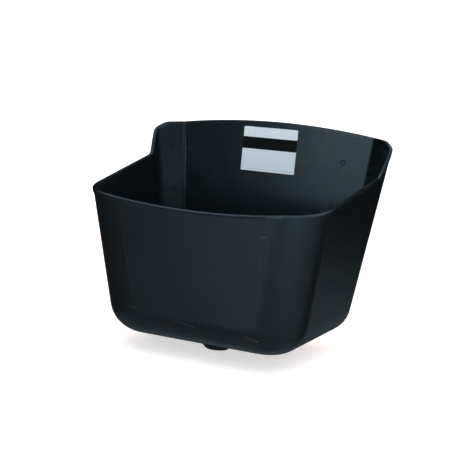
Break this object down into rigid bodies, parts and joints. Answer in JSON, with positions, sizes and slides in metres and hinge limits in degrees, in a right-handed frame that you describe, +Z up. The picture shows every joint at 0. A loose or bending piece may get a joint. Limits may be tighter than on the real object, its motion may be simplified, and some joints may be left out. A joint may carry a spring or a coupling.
{
  "type": "feed trough",
  "caption": "Wall or corner feed trough in moulded plastic, with a high flat back, 45-degree rear facets, sloping beaded rim and a lift-out drain bung in its floor.",
  "frame": {"origin": "on the flat back face that goes against the wall, at mid-width, level with the upper pair of drilling marks", "axes": "+X across the width, +Y into the wall, so that the front lip faces -Y, +Z up with the floor level"},
  "size_m": [0.4116, 0.3276, 0.3556],
  "materials": {
    "tub": "very dark blue-grey polyethylene with a soft satin sheen and light scuffs",
    "bung": "black rubber, matt",
    "label": "white printed film with a black band, no print"
  },
  "bodies": {
    "tub": {"tub": "tub", "label_blank": "label"},
    "drain_bung": {"drain_bung": "bung"}
  },
  "joints": [
    {"name": "bung_lift", "type": "slide", "parent": "tub", "child": "drain_bung", "axis": [0, 0, 1], "range_m": [0, 0.06]}
  ]
}
